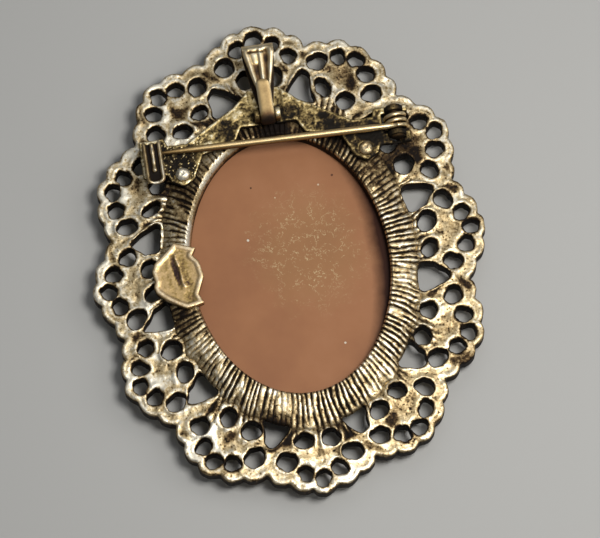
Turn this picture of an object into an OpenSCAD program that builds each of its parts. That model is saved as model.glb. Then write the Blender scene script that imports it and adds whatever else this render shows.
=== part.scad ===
// Oval cameo brooch and pendant, lying on its front: a pierced cast frame of lobes round a
// fluted collar, with a cameo in its front and a pin plate riveted across its back.
// The front faces down and rests on the bezel; the back faces up.
// +Y runs from the centre towards the pendant bail, +X towards the pin's hinge.

/* [Cameo] */
// Width of the cameo's oval
cameo_w = 30; // [26:0.5:31]
// Length of the cameo's oval
cameo_l = 40; // [36:0.5:42]
// Thickness of the cameo's ground
cameo_t = 1.6; // [1:0.1:2]
// Depth of the ground's front below the bezel's crest
cameo_recess = 1.6; // [1.2:0.1:2]
// Height of the carving at its highest bloom
relief_h = 1.3; // [0.8:0.05:1.5]
// Gap round the cameo in its seat
cameo_gap = 0.05; // [0.02:0.01:0.1]

/* [Frame] */
// Width of the whole frame across its lobes
frame_w = 54.8; // [52:0.2:58]
// Length of the whole frame across its lobes
frame_l = 69.2; // [66:0.2:72]
// Thickness of the pierced lobes
lobe_t = 2.4; // [1.8:0.1:3]
// Height of the lobes' front above what the brooch lies on
bezel_h = 1.8; // [1.2:0.1:2.4]
// Wall of the bezel round the cameo
bezel_wall = 1.6; // [1.2:0.1:2]
// Width of the ledge behind the cameo's edge
ledge_w = 1.4; // [1:0.1:1.8]
// How far the opening and its collar sit below the middle of the lobes
opening_drop = 1.1; // [0:0.1:1.2]
// Height of the fluted collar above the lobes
collar_h = 0.6; // [0.4:0.1:1]
// Width of the collar at the sides of the oval
collar_side_w = 4; // [3.6:0.1:4.2]
// Width of the collar at the ends of the oval
collar_end_w = 4.9; // [4.2:0.1:5.2]
// Number of flutes round the collar
rib_count = 96; // [60:4:110]
// Width of each flute's ridge
rib_w = 0.5; // [0.3:0.05:0.6]
// Height of each flute's ridge
rib_h = 0.35; // [0.2:0.05:0.5]

/* [Lobes] */
// Half the spread of a lobe's end holes, along the rim
lobe_half_w = 4.6; // [4.3:0.1:4.8]
// Half the spread of a lobe's holes, across the rim
lobe_half_h = 3.1; // [2.9:0.1:3.3]
// Radius of a lobe's holes
hole_r = 1.15; // [0.8:0.05:1.25]
// Radius of the scallops along a lobe's edge
scallop_r = 2.1; // [2:0.05:2.4]
// Width of the gap between two lobes, at the collar
gap_w = 4.2; // [3:0.1:4.6]
// Length of the gap between two lobes
gap_l = 4.4; // [3.4:0.1:4.8]
// Radius of a gap's corners
gap_corner_r = 0.5; // [0.3:0.05:0.7]
// Metal between the collar and a gap
gap_inset = 0.3; // [0.2:0.05:0.6]

/* [Plaque] */
// Width of the bare plaque at the side of the collar
plaque_w = 6.6; // [5:0.1:7]
// Length of the plaque
plaque_l = 9.2; // [7:0.1:10]
// Thickness of the plaque
plaque_t = 0.5; // [0.3:0.05:0.8]
// How far the plaque reaches over the cameo's opening
plaque_over = 1.2; // [0.4:0.1:1.6]

/* [Pin plate] */
// Half the width of the pin plate
plate_half_w = 19.3; // [19:0.1:20]
// Place of the plate's peak along the brooch
plate_peak_y = 24.3; // [23.5:0.1:25.5]
// Place of the plate's foot along the brooch
plate_foot_y = 11.7; // [11.2:0.1:12]
// Thickness of the plate
plate_t = 0.8; // [0.6:0.1:1.2]
// Gap between the flutes and the plate
plate_gap = 0.05; // [0.02:0.01:0.1]
// Place of the two studs across the brooch
stud_x = 12.8; // [12.4:0.1:13.2]
// Place of the two studs along the brooch
stud_y = 13.4; // [13:0.1:13.8]
// Radius of a stud
stud_r = 0.8; // [0.6:0.05:0.9]
// Radius of a stud's hammered head
stud_head_r = 1.2; // [1.1:0.05:1.3]
// Height of a stud's head
stud_head_h = 0.6; // [0.4:0.05:0.8]

/* [Pin] */
// Place of the pin along the brooch
pin_y = 16.6; // [16.4:0.1:16.8]
// Radius of the coil's wire
wire_r = 0.45; // [0.35:0.05:0.5]
// Radius of the needle, a little stouter than the coil's wire
needle_r = 0.5; // [0.4:0.05:0.55]
// Radius of the coil, at the middle of its wire
coil_r = 1.3; // [1.25:0.05:1.4]
// Number of turns in the coil
coil_turns = 3; // [2:1:3]
// Spacing of the turns
coil_pitch = 0.88; // [0.85:0.01:0.88]
// Place of the hinge across the brooch
hinge_x = 17.4; // [17:0.1:17.7]
// Gap under the coil
coil_lift = 0.2; // [0.1:0.05:0.4]
// Length of the pin from the middle of its coil to its point
pin_l = 34.4; // [33:0.1:34.8]
// Length of the coil's wire before it swells into the needle
lead_l = 2.4; // [2:0.1:4]
// Length of the swell
swell_l = 1; // [0.8:0.1:2]
// Length of the needle's taper
taper_l = 8; // [4:0.5:10]
// Radius of the pin's point
point_r = 0.1; // [0.05:0.05:0.2]
// Angle at which the closed pin slopes down to its catch
pin_droop = 0.5; // [0:0.1:1]
// Running gap of the hinge rivet
hinge_gap = 0.05; // [0.02:0.01:0.1]
// Thickness of the hinge's two ears
ear_t = 0.7; // [0.5:0.05:0.8]
// Radius of the rounded tops of the ears
ear_r = 1.35; // [1.25:0.05:1.5]
// Gap between the coil and an ear
ear_gap = 0.08; // [0.05:0.01:0.12]
// Height of the rivet's two heads
rivet_head_h = 0.3; // [0.2:0.05:0.4]
// Radius of the rivet's two heads
rivet_head_r = 1.1; // [1:0.05:1.2]

/* [Catch] */
// Width of the catch
catch_w = 2.7; // [2.6:0.1:3.4]
// Length of the catch's lip
catch_l = 5.8; // [5:0.1:6.2]
// Thickness of the catch's strip
catch_t = 0.6; // [0.4:0.05:0.7]
// Place of the catch's outer edge across the brooch
catch_edge_x = 17.9; // [17.7:0.1:18.2]
// Gap between the pin and the catch
catch_gap = 0.3; // [0.2:0.05:0.4]
// Height of the three ridges on the catch
catch_rib_h = 0.2; // [0.1:0.05:0.3]
// Width of each ridge on the catch
catch_rib_w = 0.5; // [0.3:0.05:0.6]

/* [Bail] */
// Place of the bail's hinge bar along the brooch
bar_y = 20; // [19.8:0.1:20.4]
// Radius of the hinge bar
bar_r = 0.45; // [0.35:0.05:0.5]
// Width of the bail's strip at the bar
bail_low_w = 2; // [1.6:0.1:2.2]
// Width of the bail's strip at its top fold
bail_top_w = 4.6; // [3.6:0.1:5]
// Length of the bail from the bar to the middle of its top fold
bail_l = 9.1; // [8.4:0.1:9.6]
// Outer radius of the top fold
bail_fold_r = 1.5; // [1.3:0.05:1.7]
// Thickness of the bail's strip
bail_t = 0.5; // [0.4:0.05:0.6]
// Running gap between the bail and its bar
bail_gap = 0.05; // [0.02:0.01:0.1]
// Gap between the bail and the plate under it
bail_lift = 0.1; // [0.05:0.05:0.3]
// Length of the tongue folded back over the bail
tongue_l = 4.8; // [4:0.1:5.2]
// Thickness of the tongue
tongue_t = 0.5; // [0.3:0.05:0.6]
// Width of the two lugs that hold the bar
lug_w = 0.7; // [0.5:0.05:0.9]
// Gap between the bail and each lug
lug_gap = 0.1; // [0.05:0.01:0.2]
// Metal round the bar in each lug
lug_wall = 0.4; // [0.3:0.05:0.6]

/* [Hidden] */
$fn = 48;

// Overlap of solids that are joined
lap = 0.1;
// Points round each oval
oval_n = 96;

// Heights above what the brooch lies on
cameo_back_z = cameo_recess + cameo_t;
ledge_z = cameo_back_z + cameo_gap;
lobe_top_z = bezel_h + lobe_t;
collar_top_z = lobe_top_z + collar_h;
rib_top_z = collar_top_z + rib_h;
plate_z = rib_top_z + plate_gap;
plate_top_z = plate_z + plate_t;

// Half widths and half lengths of the ovals: [across, along]
cameo_half = [cameo_w / 2, cameo_l / 2];
seat_half = [cameo_w / 2 + cameo_gap, cameo_l / 2 + cameo_gap];
opening_half = [cameo_w / 2 - ledge_w, cameo_l / 2 - ledge_w];
bezel_half = [seat_half[0] + bezel_wall, seat_half[1] + bezel_wall];
collar_half = [opening_half[0] + collar_side_w, opening_half[1] + collar_end_w];

// The lobes: one at each end and side, spaced evenly along the rim
lobe_count = 12;
// How far the even spacing departs from even angles on this oval
spacing_shift = 3.4;
// Scallops and holes of one lobe, as shares of its half spreads: [along the rim, across it]
SCALLOPS = [[-1.12, 0.22], [-0.58, 0.72], [0, 0.94], [0.58, 0.72], [1.12, 0.22]];
HOLES = [[-0.98, -0.13], [-0.51, 0.57], [0, 0.92], [0.51, 0.57], [0.98, -0.13], [-0.4, -1], [0.4, -1]];
lobe_reach = SCALLOPS[2][1] * lobe_half_h + scallop_r;
lobe_half = [frame_w / 2 - lobe_reach, frame_l / 2 - lobe_reach];

// Points on the plate's outline, right half: [share of half width, share from foot to peak]
PLATE = [
    [0.2, 0.58], [0.25, 0.43], [0.5, 0.33], [0.58, 0.07], [0.66, 0], [0.75, 0.07], [0.77, 0.15],
    [1, 0.15], [1, 0.58], [0.76, 0.58], [0.74, 0.49], [0.6, 0.49], [0.42, 0.66], [0.24, 0.82], [0.11, 1]
];

// Points on the plaque's outline, right half from the bottom: [share of half width, share of half length]
PLAQUE = [
    [0, -1], [0.45, -0.86], [0.78, -0.9], [0.72, -0.62], [1, 0],
    [0.72, 0.62], [0.8, 0.88], [0.4, 0.8], [0, 1]
];

// The pin's hinge
hinge_z = lobe_top_z + coil_lift + coil_r + wire_r;
coil_bore_r = coil_r - wire_r;
rivet_r = coil_bore_r - hinge_gap;
coil_half = (coil_turns - 1) / 2 * coil_pitch + wire_r;
ear_near = coil_half + ear_gap;
ear_far = ear_near + ear_t;
// Depth of the notch in the plate beside each ear, for the rivet's head
head_notch = rivet_head_h + 2 * hinge_gap;
pin_tip_z = hinge_z + coil_r * cos(pin_droop) - pin_l * sin(pin_droop);

// The catch closes behind the pin and its lip reaches past it, towards the brooch's middle
catch_wall_y = pin_y + needle_r + catch_gap;
catch_lip_z = pin_tip_z + needle_r + catch_gap;
catch_x = catch_w / 2 - catch_edge_x;

// The bail's bar, its folds and its lugs: the lower strand lies level on the plate
curl_r = bar_r + bail_gap + bail_t;
bar_z = plate_top_z + bail_lift + curl_r;
fold_at = [bar_y + bail_l, bar_z + bail_fold_r - curl_r];
bail_slope = 2 * atan((bail_fold_r - curl_r) / bail_l);
slot_top_y = bar_y + curl_r + tongue_t + bail_gap;
lug_x = bail_low_w / 2 + lug_gap;
lug_r = bar_r + lug_wall;

function oval(half, n = oval_n) = [
    for (i = [0 : n - 1]) [half[0] * cos(360 * i / n), half[1] * sin(360 * i / n)]
];
function mirrored(points) = concat(
    points,
    [for (i = [len(points) - 1 : -1 : 0]) [-points[i][0], points[i][1]]]
);
function slope(from, to) = atan2(to[1] - from[1], to[0] - from[0]);

// Angle on the lobes' oval at a place counted in lobes, and the way outwards there
function lobe_angle(k) = 360 / lobe_count * k - spacing_shift * sin(720 / lobe_count * k);
function oval_point(half, t) = [half[0] * cos(t), half[1] * sin(t)];
function outward(half, t) = atan2(half[0] * sin(t), half[1] * cos(t));
// A point of a lobe's own pattern, placed on the frame
function on_rim(half, t, along, across) =
    let (way = outward(half, t))
    oval_point(half, t) + across * [cos(way), sin(way)] + along * [-sin(way), cos(way)];

// The frame's outline: an arc of each scallop, from where it meets one neighbour to the next
scallop_at = [
    for (k = [0 : lobe_count - 1])
        for (s = SCALLOPS)
            on_rim(lobe_half, lobe_angle(k), s[0] * lobe_half_w, s[1] * lobe_half_h)
];
function meeting(a, b) =
    let (d = norm(b - a))
    (a + b) / 2 + sqrt(max(0, scallop_r * scallop_r - d * d / 4)) / d * [b[1] - a[1], a[0] - b[0]];
function arc_turn(from, to) = (to - from + 720) % 360;
function frame_outline(at, steps = 5) = [
    for (i = [0 : len(at) - 1])
        let (
            before = at[(i + len(at) - 1) % len(at)],
            after = at[(i + 1) % len(at)],
            from = slope(at[i], meeting(before, at[i])),
            turn = arc_turn(from, slope(at[i], meeting(at[i], after)))
        )
        for (j = [0 : steps])
            at[i] + scallop_r * [cos(from + turn * j / (steps + 1)), sin(from + turn * j / (steps + 1))]
];

// A polygon with each corner rounded by an arc that touches both its sides
function rounded(points, r, steps = 3) = [
    for (i = [0 : len(points) - 1])
        let (
            corner = points[i],
            back = slope(corner, points[(i + len(points) - 1) % len(points)]),
            ahead = slope(corner, points[(i + 1) % len(points)]),
            half_angle = arc_turn(ahead, back) / 2,
            middle = corner + r / sin(half_angle) * [cos(ahead + half_angle), sin(ahead + half_angle)]
        )
        for (j = [0 : steps])
            let (a = back + 90 + (ahead - 90 - back - 90 + 720) % 360 * j / steps)
            middle + r * [cos(a), sin(a)]
];

// Places what belongs to the opening, which sits below the middle of the lobes
module lowered() {
    translate([0, -opening_drop, 0])
        children();
}

module oval_disc(half, z, h) {
    translate([0, 0, z])
        linear_extrude(h)
            polygon(oval(half));
}

// A triangular gap between two lobes, its base on the collar and its point outwards
module lobe_gap(k) {
    t = lobe_angle(k);
    base = [collar_half[0] + gap_inset, collar_half[1] + gap_inset];
    corners = [[0, -gap_w / 2], [gap_l, 0], [0, gap_w / 2]];
    translate(oval_point(base, t))
        rotate(outward(lobe_half, t))
            polygon(rounded(corners, gap_corner_r));
}

module lobe_holes(k) {
    t = lobe_angle(k);
    for (h = HOLES)
        translate(on_rim(lobe_half, t, h[0] * lobe_half_w, h[1] * lobe_half_h))
            circle(hole_r);
}

module pierced_rim() {
    translate([0, 0, bezel_h])
        linear_extrude(lobe_t)
            difference() {
                polygon(frame_outline(scallop_at));
                for (k = [0 : lobe_count - 1]) {
                    lobe_holes(k);
                    lobe_gap(k + 0.5);
                }
            }
}

// One ridge of the fluted collar, from the opening's rim to the collar's edge
module rib(t) {
    from = oval_point(opening_half, t);
    to = oval_point(collar_half, t);
    reach = norm(to - from);
    translate([from[0], from[1], collar_top_z - lap])
        rotate(slope(from, to))
            translate([ledge_w / 4, -rib_w / 2, 0])
                cube([reach - ledge_w / 2, rib_w, rib_h + lap]);
}

module plaque() {
    half = [plaque_w / 2, plaque_l / 2];
    outline = [for (p = mirrored(PLAQUE)) [p[0] * half[0], p[1] * half[1]]];
    translate([plaque_over - opening_half[0] - half[0], 0, collar_top_z])
        linear_extrude(rib_h + plaque_t)
            polygon(outline);
}

// A stud cast on the collar and hammered over the pin plate
module stud(side) {
    translate([side * stud_x, stud_y, collar_top_z - lap])
        cylinder(r = stud_r, h = plate_top_z + plate_gap + lap - collar_top_z + lap);
    translate([side * stud_x, stud_y, plate_top_z + plate_gap])
        cylinder(r1 = stud_head_r, r2 = stud_r, h = stud_head_h);
}

module frame() {
    color([0.66, 0.56, 0.34])
        difference() {
            union() {
                pierced_rim();
                lowered() {
                    oval_disc(bezel_half, 0, bezel_h + lap);
                    oval_disc(collar_half, lobe_top_z - lap, collar_h + lap);
                    for (i = [0 : rib_count - 1])
                        rib(360 * (i + 0.5) / rib_count);
                }
                for (side = [-1, 1])
                    stud(side);
            }
            lowered() {
                oval_disc(seat_half, -1, ledge_z + 1);
                oval_disc(opening_half, -1, rib_top_z + 2);
            }
        }
    color([0.66, 0.56, 0.34])
        lowered()
            plaque();
}

module cameo_ground() {
    color([0.63, 0.43, 0.33])
        lowered()
            oval_disc(cameo_half, cameo_recess, cameo_t);
}

// A leaf between two arcs, its stalk at the origin and its tip along +X
function leaf_half_w(s, w) = w * sin(180 * pow(s, 0.8));
function leaf_outline(l, w, steps = 8) = concat(
    [for (i = [0 : steps]) [l * i / steps, -leaf_half_w(i / steps, w)]],
    [for (i = [steps - 1 : -1 : 1]) [l * i / steps, leaf_half_w(i / steps, w)]]
);

module leaf(at, way, l, h) {
    translate([at[0], at[1], cameo_recess - h])
        rotate(way)
            linear_extrude(h)
                polygon(leaf_outline(l, l / 4));
}

// A ring of petals, each a low disc whose height is given as a share of the carving's height
module petal_ring(at, count, reach, r, share, turn) {
    for (i = [0 : count - 1])
        translate([at[0], at[1], cameo_recess - share * relief_h])
            rotate(turn + 360 * i / count)
                translate([reach, 0, 0])
                    cylinder(r = r, h = share * relief_h);
}

module bloom(at, size) {
    petal_ring(at, 5, 0.58 * size, 0.46 * size, 0.5, 90);
    petal_ring(at, 5, 0.34 * size, 0.34 * size, 0.75, 54);
    petal_ring(at, 1, 0, 0.3 * size, 1, 0);
}

// The spray keeps its own proportions, set by half the cameo's width
module cameo_relief() {
    spray = cameo_w / 2;
    color([0.93, 0.89, 0.8])
        lowered() {
            bloom(spray * [0, 0.16], 0.42 * spray);
            bloom(spray * [-0.36, -0.4], 0.24 * spray);
            bloom(spray * [0.38, 0.7], 0.2 * spray);
            for (side = [-1, 1]) {
                leaf(spray * [side * 0.2, 0.4], 90 - side * 28, 0.5 * spray, 0.35 * relief_h);
                leaf(spray * [side * 0.3, 0.07], 90 - side * 80, 0.46 * spray, 0.35 * relief_h);
                leaf(spray * [side * 0.16, -0.13], 90 - side * 140, 0.56 * spray, 0.35 * relief_h);
            }
            leaf(spray * [0, -0.1], -84, 0.86 * spray, 0.3 * relief_h);
            leaf(spray * [0.04, 0.45], 96, 0.5 * spray, 0.3 * relief_h);
        }
}

// One of the two ears that carry the hinge rivet
module ear(side) {
    low = side > 0 ? ear_near : -ear_far;
    translate([hinge_x, pin_y + low, hinge_z])
        rotate([-90, 0, 0])
            cylinder(r = ear_r, h = ear_t);
    translate([hinge_x - ear_r, pin_y + low, plate_z])
        cube([2 * ear_r, ear_t, hinge_z - plate_z]);
}

// The catch, seen from the side: a wall behind the pin and a lip over it, rolled at its end
module catch_profile() {
    wall_h = catch_lip_z + catch_t - plate_top_z;
    lip_end_y = catch_wall_y + catch_t - catch_l;
    translate([catch_wall_y, plate_top_z - lap])
        square([catch_t, wall_h + lap]);
    translate([lip_end_y, catch_lip_z])
        square([catch_l, catch_t]);
    translate([lip_end_y, catch_lip_z + catch_t / 2])
        circle(catch_t * 0.7);
}

module along_x(x, w) {
    translate([x - w / 2, 0, 0])
        rotate([90, 0, 90])
            linear_extrude(w)
                children();
}

module pin_catch() {
    along_x(catch_x, catch_w)
        catch_profile();
    for (i = [-1 : 1])
        translate([
            catch_x + i * (catch_w - catch_rib_w) / 2 - catch_rib_w / 2,
            catch_wall_y + catch_t - catch_l,
            catch_lip_z + catch_t - lap
        ])
            cube([catch_rib_w, catch_l, catch_rib_h + lap]);
}

// The bar that carries the bail, between two lugs
module bail_bar() {
    bar_w = 2 * (lug_x + lug_w);
    along_x(0, bar_w)
        translate([bar_y, bar_z])
            circle(bar_r);
    for (side = [-1, 1])
        along_x(side * (lug_x + lug_w / 2), lug_w) {
            translate([bar_y, bar_z])
                circle(lug_r);
            translate([bar_y - lug_r, plate_top_z - lap])
                square([2 * lug_r, bar_z - plate_top_z + lap]);
        }
}

module plate_outline() {
    rise = plate_peak_y - plate_foot_y;
    difference() {
        polygon([for (p = mirrored(PLATE)) [p[0] * plate_half_w, plate_foot_y + p[1] * rise]]);
        for (side = [-1, 1])
            translate([side * stud_x, stud_y])
                circle(stud_r + plate_gap);
        translate([-lug_x, plate_foot_y])
            square([2 * lug_x, slot_top_y - plate_foot_y]);
        translate([hinge_x - coil_r - wire_r - hinge_gap, pin_y - ear_near])
            square([plate_half_w, 2 * ear_near]);
        for (side = [-1, 1])
            translate([hinge_x, pin_y + side * (ear_far + head_notch / 2)])
                square([2 * (rivet_head_r + hinge_gap), head_notch], center = true);
    }
}

module pin_plate() {
    color([0.6, 0.5, 0.3]) {
        difference() {
            union() {
                translate([0, 0, plate_z])
                    linear_extrude(plate_t)
                        plate_outline();
                ear(-1);
                ear(1);
            }
            translate([hinge_x, pin_y - ear_far - 1, hinge_z])
                rotate([-90, 0, 0])
                    cylinder(r = rivet_r + hinge_gap, h = 2 * ear_far + 2);
        }
        pin_catch();
        bail_bar();
    }
}

module hinge_rivet() {
    color([0.7, 0.62, 0.42])
        translate([hinge_x, pin_y, hinge_z])
            rotate([-90, 0, 0])
                union() {
                    translate([0, 0, -ear_far - hinge_gap - lap])
                        cylinder(r = rivet_r, h = 2 * (ear_far + hinge_gap + lap));
                    for (side = [-1, 1])
                        translate([0, 0, side * (ear_far + hinge_gap + rivet_head_h / 2)])
                            cylinder(r = rivet_head_r, h = rivet_head_h, center = true);
                }
}

// The pin in its hinge's own frame: the coil round Y, the wire leaving its top towards -X
module pin_stem() {
    straight_l = pin_l - lead_l - swell_l - taper_l;
    color([0.8, 0.66, 0.42])
        translate([hinge_x, pin_y, hinge_z])
            rotate([0, -pin_droop, 0])
                union() {
                    rotate([90, 0, 0])
                        rotate_extrude()
                            for (i = [0 : coil_turns - 1])
                                translate([coil_r, (i - (coil_turns - 1) / 2) * coil_pitch])
                                    circle(wire_r);
                    translate([0, 0, coil_r])
                        rotate([0, -90, 0]) {
                            cylinder(r = wire_r, h = lead_l);
                            translate([0, 0, lead_l])
                                cylinder(r1 = wire_r, r2 = needle_r, h = swell_l);
                            translate([0, 0, lead_l + swell_l])
                                cylinder(r = needle_r, h = straight_l);
                            translate([0, 0, pin_l - taper_l])
                                cylinder(r1 = needle_r, r2 = point_r, h = taper_l);
                        }
                }
}

// A round at the bar, a round at the top fold and the straight sides that touch both, seen from the side
function round_part(centre, r, from, to, steps = 16) = [
    for (i = [0 : steps])
        let (a = from + (to - from) * i / steps)
        centre + r * [cos(a), sin(a)]
];
function taper_outline(low_r, high_r) =
    let (
        low_at = [bar_y, bar_z],
        way = slope(low_at, fold_at),
        flare = asin((high_r - low_r) / norm(fold_at - low_at))
    )
    concat(
        round_part(low_at, low_r, way + 90 + flare, way + 270 - flare),
        round_part(fold_at, high_r, way + 270 - flare, way + 450 + flare)
    );

// The bail's strip seen from the back: straight at the bar, flared towards its top fold
module bail_plan() {
    low_y = bar_y - curl_r - lap;
    flare_y = bar_y + tongue_l;
    top_y = fold_at[0] + bail_fold_r + lap;
    half = [bail_low_w / 2, bail_top_w / 2];
    polygon([
        [-half[0], low_y], [half[0], low_y], [half[0], flare_y],
        [half[1], top_y], [-half[1], top_y], [-half[0], flare_y]
    ]);
}

// The tongue in the bar's own frame: it starts below the bar, wraps round it and lies on the strip
module bail_tongue() {
    outer_r = curl_r + tongue_t;
    half_w = bail_low_w / 2;
    side_view = concat(
        [[tongue_l, curl_r - lap], [tongue_l, outer_r]],
        round_part([0, 0], outer_r, 90, 180),
        [[-bar_r, 0]]
    );
    plan = concat(
        [[-half_w, -2 * outer_r], [half_w, -2 * outer_r]],
        round_part([0, tongue_l - half_w], half_w, 0, 180)
    );
    intersection() {
        along_x(0, bail_top_w)
            polygon(side_view);
        translate([0, 0, -outer_r])
            linear_extrude(3 * outer_r)
                polygon(plan);
    }
}

// One strip: from the bar to the top fold and back, its end folded over the bar as a tongue
module bail() {
    color([0.8, 0.68, 0.42])
        difference() {
            union() {
                intersection() {
                    along_x(0, bail_top_w + 2 * lap)
                        polygon(taper_outline(curl_r, bail_fold_r));
                    translate([0, 0, bar_z - 2 * bail_fold_r])
                        linear_extrude(6 * bail_fold_r)
                            bail_plan();
                }
                translate([0, bar_y, bar_z])
                    rotate([bail_slope, 0, 0])
                        bail_tongue();
            }
            along_x(0, bail_top_w + 2 * lap)
                polygon(taper_outline(bar_r, bail_fold_r - bail_t));
            translate([-bail_top_w, bar_y, bar_z])
                rotate([0, 90, 0])
                    cylinder(r = bar_r + bail_gap, h = 2 * bail_top_w);
        }
}

frame();
cameo_ground();
cameo_relief();
pin_plate();
hinge_rivet();
pin_stem();
bail();
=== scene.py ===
import math

import bmesh
import bpy
from mathutils import Matrix, Vector, kdtree, noise


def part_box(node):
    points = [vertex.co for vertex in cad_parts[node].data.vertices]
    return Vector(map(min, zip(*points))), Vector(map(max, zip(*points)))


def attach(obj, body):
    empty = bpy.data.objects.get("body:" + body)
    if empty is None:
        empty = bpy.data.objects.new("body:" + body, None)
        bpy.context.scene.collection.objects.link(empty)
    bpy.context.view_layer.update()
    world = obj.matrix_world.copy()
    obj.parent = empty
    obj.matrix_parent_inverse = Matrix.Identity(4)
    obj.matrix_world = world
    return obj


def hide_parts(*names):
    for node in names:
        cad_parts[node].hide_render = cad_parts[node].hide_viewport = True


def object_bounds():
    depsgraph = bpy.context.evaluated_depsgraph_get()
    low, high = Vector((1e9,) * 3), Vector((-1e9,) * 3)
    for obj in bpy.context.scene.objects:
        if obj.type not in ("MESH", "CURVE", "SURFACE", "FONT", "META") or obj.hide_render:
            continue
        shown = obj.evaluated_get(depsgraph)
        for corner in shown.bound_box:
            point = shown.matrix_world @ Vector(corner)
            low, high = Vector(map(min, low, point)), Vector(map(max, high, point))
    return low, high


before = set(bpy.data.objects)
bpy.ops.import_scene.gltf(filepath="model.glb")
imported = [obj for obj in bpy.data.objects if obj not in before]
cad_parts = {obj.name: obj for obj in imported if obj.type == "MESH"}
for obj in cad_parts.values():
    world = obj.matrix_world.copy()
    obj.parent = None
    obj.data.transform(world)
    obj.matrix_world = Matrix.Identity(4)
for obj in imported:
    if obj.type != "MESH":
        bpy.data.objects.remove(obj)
cad_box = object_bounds()

# Pierced lobes
# The brooch's one zinc casting in antique gold. Twelve lobes stand round the oval, their holes
# trimmed by hand, their edges left as rounded lips and their pads worn flat. On the hidden front
# a plain bezel holds the cameo, and the brooch rests on it.
MM = 0.001
opening_half = (13.6 * MM, 18.6 * MM)
collar_half = (17.6 * MM, 23.5 * MM)
opening_drop = 1.1 * MM
lobe_back_z = 4.2 * MM
lobe_front_z = 1.8 * MM
lobe_fall = 0.35 * MM
skin_voxel = 0.19 * MM
most_triangles = 190000
lip_at = 0.42 * MM
lip_w = 0.15 * MM
lip_h = 0.04 * MM
pad_sink = 0.08 * MM
pit_depth = 0.1 * MM
hole_reach = 1.75 * MM
hole_r_most = 1.3 * MM
gap_reach = 1.5 * MM
gap_opened = 0.45 * MM
web_kept = 0.7 * MM
run_out_h = 0.3 * MM
box_gap = 0.02 * MM
table_gap = 0.004 * MM
weld_gap = 0.002 * MM
cut_slack = 0.0001 * MM


def ease(low, high, value):
    """Rises smoothly from 0 at low to 1 at high"""
    share = min(1.0, max(0.0, (value - low) / (high - low)))
    return share * share * (3 - 2 * share)


def bump_at(centre, width, value):
    """A rounded hump of height 1"""
    return math.exp(-(((value - centre) / width) ** 2))


def grain(x, y, size, seed=0.0):
    """Smooth noise from -1 to 1 whose lumps are about the given size"""
    return noise.noise(Vector((x / size, y / size, seed)))


def layered(x, y, rows):
    """Noise in layers, in rows of strength, lump size in millimetres and seed"""
    return sum(strength * grain(x, y, size * MM, seed) for strength, size, seed in rows)


def merged_copy(node):
    """A CAD node's mesh with its loose triangles joined"""
    bm = bmesh.new()
    bm.from_mesh(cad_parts[node].data)
    bmesh.ops.remove_doubles(bm, verts=bm.verts, dist=weld_gap)
    return bm


def cut_off(bm, place, way):
    """Cuts off all that lies past a place in a direction, and gives the edges round the cut"""
    bmesh.ops.bisect_plane(
        bm, geom=bm.verts[:] + bm.edges[:] + bm.faces[:], dist=cut_slack,
        plane_co=place, plane_no=way, clear_outer=True,
    )
    return [edge for edge in bm.edges if edge.is_boundary]


def cut_above(bm, z):
    """Cuts off all that lies above z, closes the cut and gives the edges round it"""
    rim = cut_off(bm, (0, 0, z), (0, 0, 1))
    bmesh.ops.triangle_fill(bm, use_beauty=True, edges=rim, normal=(0, 0, 1))
    return rim


def loops_of(edges):
    """Sorts edges into closed loops, each a list of its points"""
    waiting = set(edges)
    loops = []
    for edge in edges:
        if edge not in waiting:
            continue
        waiting.remove(edge)
        first, vert = edge.verts
        loop = [vert.co.copy()]
        while vert is not first:
            edge = next(e for e in vert.link_edges if e in waiting)
            waiting.remove(edge)
            vert = edge.other_vert(vert)
            loop.append(vert.co.copy())
        loops.append(loop)
    return loops


def points_along(loop, spacing):
    """Evenly spread points on a closed loop, laid flat"""
    points = []
    for a, b in zip(loop, loop[1:] + loop[:1]):
        steps = max(1, round((b - a).length / spacing))
        points += [Vector((*a.lerp(b, i / steps).xy, 0)) for i in range(steps)]
    return points


def search_tree(points):
    """A search tree over points, made ready"""
    tree = kdtree.KDTree(len(points))
    for i, point in enumerate(points):
        tree.insert(point, i)
    tree.balance()
    return tree


def edge_finder(loops):
    """A search tree over the loops' points, with each point's loop"""
    owners = []
    points = []
    for loop in loops:
        along = points_along(loop, 0.1 * MM)
        points += along
        owners += [loop] * len(along)
    return search_tree(points), owners


def placed(name, data):
    """Puts a new object at the origin"""
    made = bpy.data.objects.new(name, data)
    bpy.context.scene.collection.objects.link(made)
    return made


def piece_from(bm, name):
    """Makes a smooth shaded piece"""
    mesh = bpy.data.meshes.new(name)
    bm.to_mesh(mesh)
    bm.free()
    mesh.shade_smooth()
    return placed(name, mesh)


def applied(piece):
    """Makes a piece's modifiers part of its mesh"""
    bpy.context.view_layer.update()
    ready = piece.evaluated_get(bpy.context.evaluated_depsgraph_get())
    mesh = bpy.data.meshes.new_from_object(ready)
    mesh.shade_smooth()
    piece.modifiers.clear()
    piece.data = mesh


def fine_skin(bm, name, voxel, relax):
    """Covers a solid with an even fine mesh and softens its corners"""
    piece = piece_from(bm, name)
    skin = piece.modifiers.new("skin", "REMESH")
    skin.mode = "VOXEL"
    skin.voxel_size = voxel
    applied(piece)
    bm = bmesh.new()
    bm.from_mesh(piece.data)
    for _ in range(relax):
        bmesh.ops.smooth_vert(
            bm, verts=bm.verts, factor=0.5, use_axis_x=True, use_axis_y=True, use_axis_z=True
        )
    bm.normal_update()
    return piece, bm


def store_wear_and_light(piece, wear_and_light):
    """Stores how bright each point is worn and painted lit: 0 in a black hollow or painted shade, 1 on a
    polished edge or painted highlight
    """
    layer = piece.data.attributes.new("wear_and_light", "FLOAT", "POINT")
    layer.data.foreach_set("value", [max(0.0, min(1.0, value)) for value in wear_and_light])
    piece.data.shade_smooth()


def sculpted(piece, bm, wear_and_light):
    """Gives a reshaped skin and its wear and painted light back to its piece"""
    bm.to_mesh(piece.data)
    bm.free()
    store_wear_and_light(piece, wear_and_light)


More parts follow.
